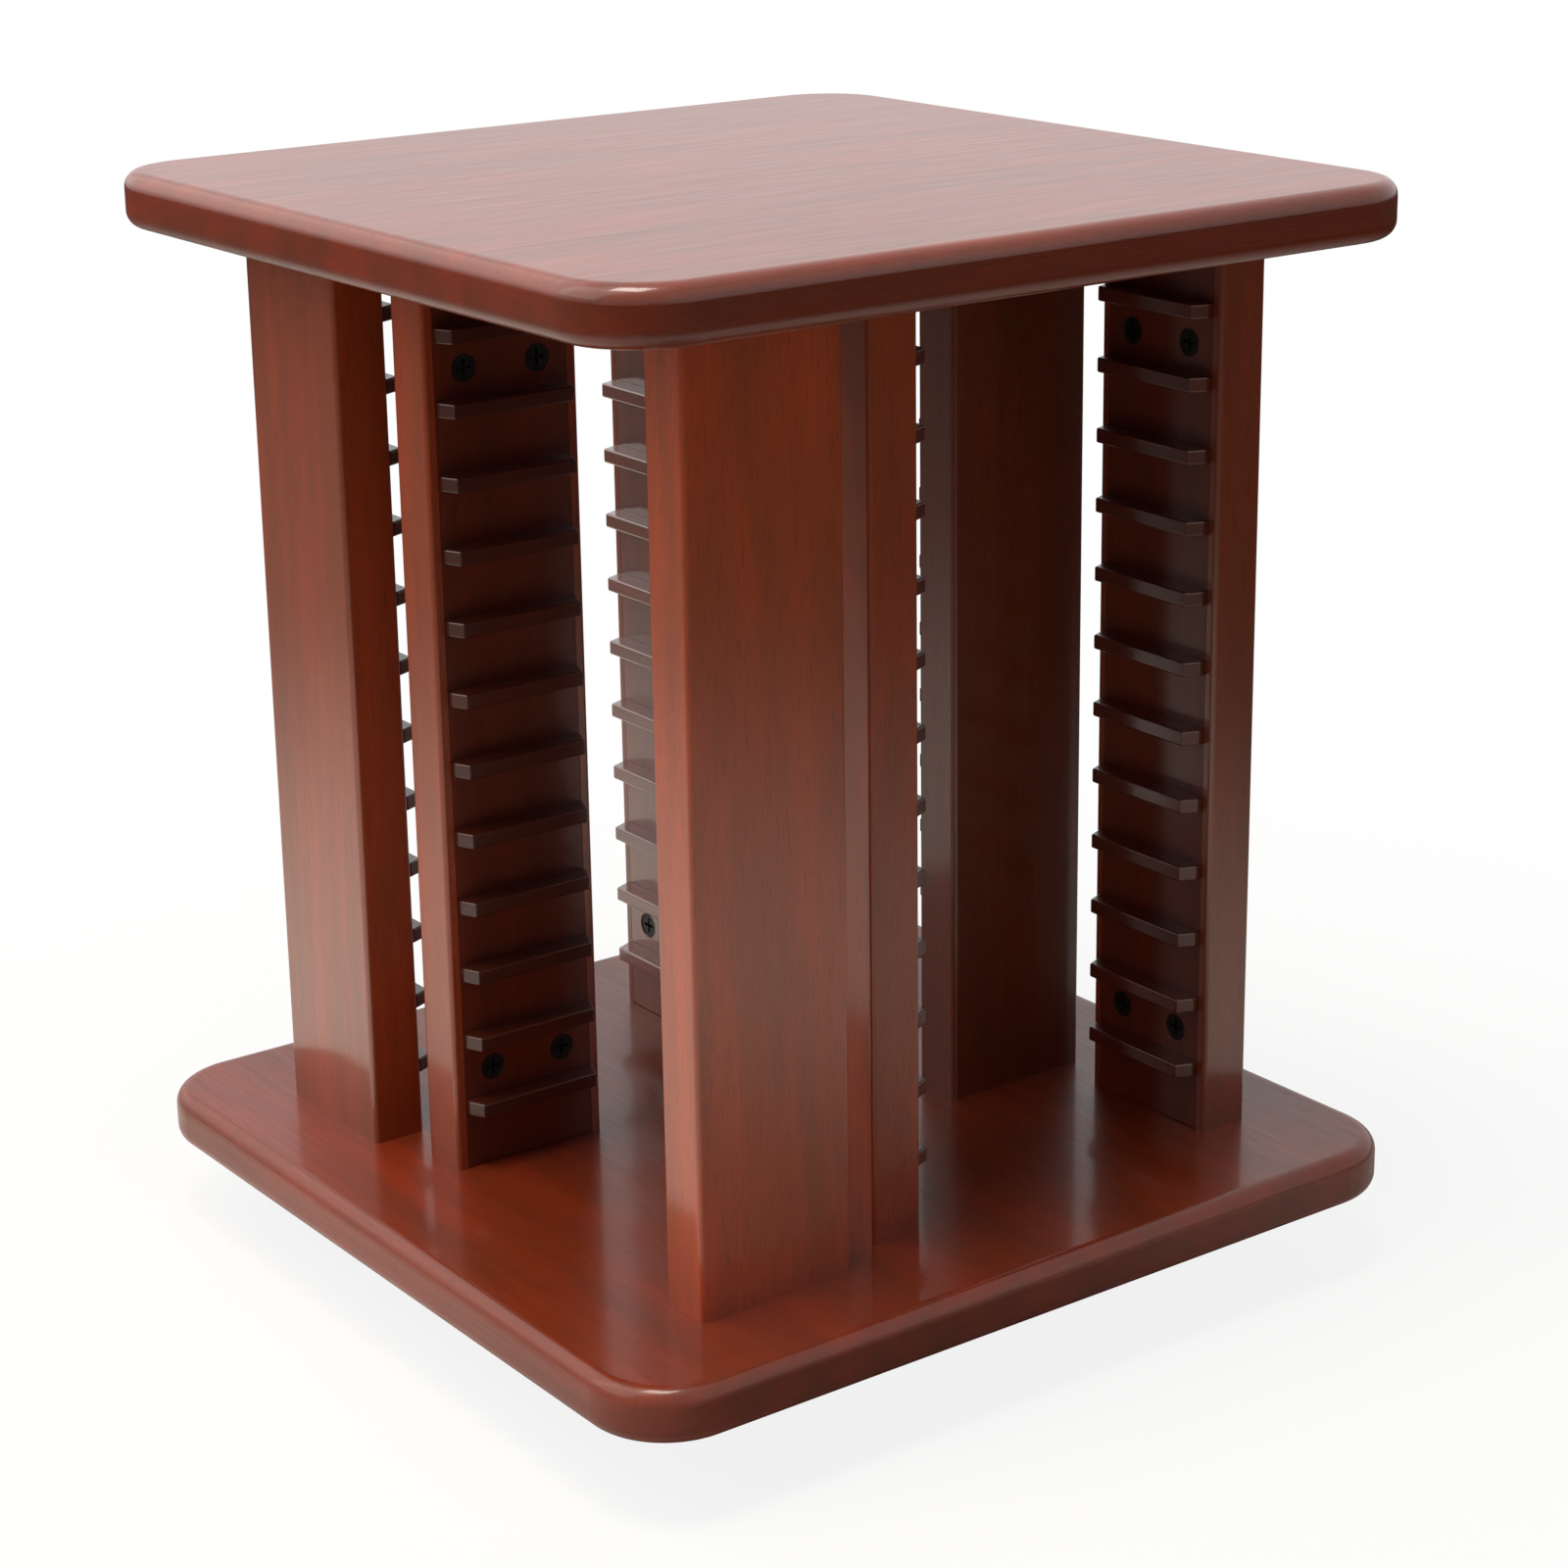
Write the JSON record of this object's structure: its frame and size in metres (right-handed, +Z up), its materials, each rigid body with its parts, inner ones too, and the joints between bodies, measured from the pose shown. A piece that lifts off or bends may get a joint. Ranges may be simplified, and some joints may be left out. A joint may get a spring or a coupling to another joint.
{
  "type": "rotating media tower",
  "caption": "Square wooden tower that turns on a ball bearing, with upright posts between two boards and slatted racks for boxed tapes in bays open to every side.",
  "frame": {"origin": "on the floor under the feet, on the axis that the tower turns about", "axes": "+Z up along the turning axis; -Y out of the front bay; +X to the right, out of the right bay"},
  "size_m": [0.29, 0.29, 0.3414],
  "materials": {
    "panel_wood": "red-brown stain under satin lacquer",
    "post_wood": "red-brown stain under satin lacquer",
    "rack_wood": "dark red-brown stain under satin lacquer",
    "dowel_wood": "bare beech",
    "black_screw": "black",
    "zinc_steel": "zinc plated",
    "ball_steel": "polished",
    "nylon": "moulded",
    "foot_rubber": "moulded"
  },
  "bodies": {
    "stand": {"foot_board": "panel_wood", "turntable_lower_plate": "zinc_steel", "turntable_lower_screws": "zinc_steel", "turntable_rivet": "zinc_steel", "rubber_foot_1": "foot_rubber", "rubber_foot_2": "foot_rubber", "rubber_foot_3": "foot_rubber", "rubber_foot_4": "foot_rubber", "rubber_foot_screws": "zinc_steel"},
    "ball_ring": {"turntable_balls": "ball_steel", "turntable_ball_cage": "nylon"},
    "tower": {"top_panel": "panel_wood", "base_panel": "panel_wood", "top_dowels": "dowel_wood", "base_screws": "zinc_steel", "outer_post_front": "post_wood", "outer_rack_board_front": "rack_wood", "outer_rack_slats_front": "rack_wood", "outer_rack_screws_front": "black_screw", "outer_post_right": "post_wood", "outer_rack_board_right": "rack_wood", "outer_rack_slats_right": "rack_wood", "outer_rack_screws_right": "black_screw", "outer_post_back": "post_wood", "outer_rack_board_back": "rack_wood", "outer_rack_slats_back": "rack_wood", "outer_rack_screws_back": "black_screw", "outer_post_left": "post_wood", "outer_rack_board_left": "rack_wood", "outer_rack_slats_left": "rack_wood", "outer_rack_screws_left": "black_screw", "inner_post_front": "post_wood", "inner_rack_board_front": "rack_wood", "inner_rack_slats_front": "rack_wood", "inner_rack_screws_front": "black_screw", "inner_post_right": "post_wood", "inner_rack_board_right": "rack_wood", "inner_rack_slats_right": "rack_wood", "inner_rack_screws_right": "black_screw", "inner_post_back": "post_wood", "inner_rack_board_back": "rack_wood", "inner_rack_slats_back": "rack_wood", "inner_rack_screws_back": "black_screw", "inner_post_left": "post_wood", "inner_rack_board_left": "rack_wood", "inner_rack_slats_left": "rack_wood", "inner_rack_screws_left": "black_screw", "turntable_upper_plate": "zinc_steel", "turntable_upper_screws": "zinc_steel"}
  },
  "joints": [
    {"name": "turntable_swivel", "type": "hinge", "parent": "stand", "child": "tower", "pos_m": [0, 0, 0.021], "axis": [0, 0, 1], "continuous": true},
    {"name": "ball_ring_turn", "type": "hinge", "parent": "stand", "child": "ball_ring", "pos_m": [0, 0, 0.021], "axis": [0, 0, 1], "continuous": true}
  ],
  "couplings": [
    {"joint": "ball_ring_turn", "follows": "turntable_swivel", "ratio": 0.5}
  ]
}
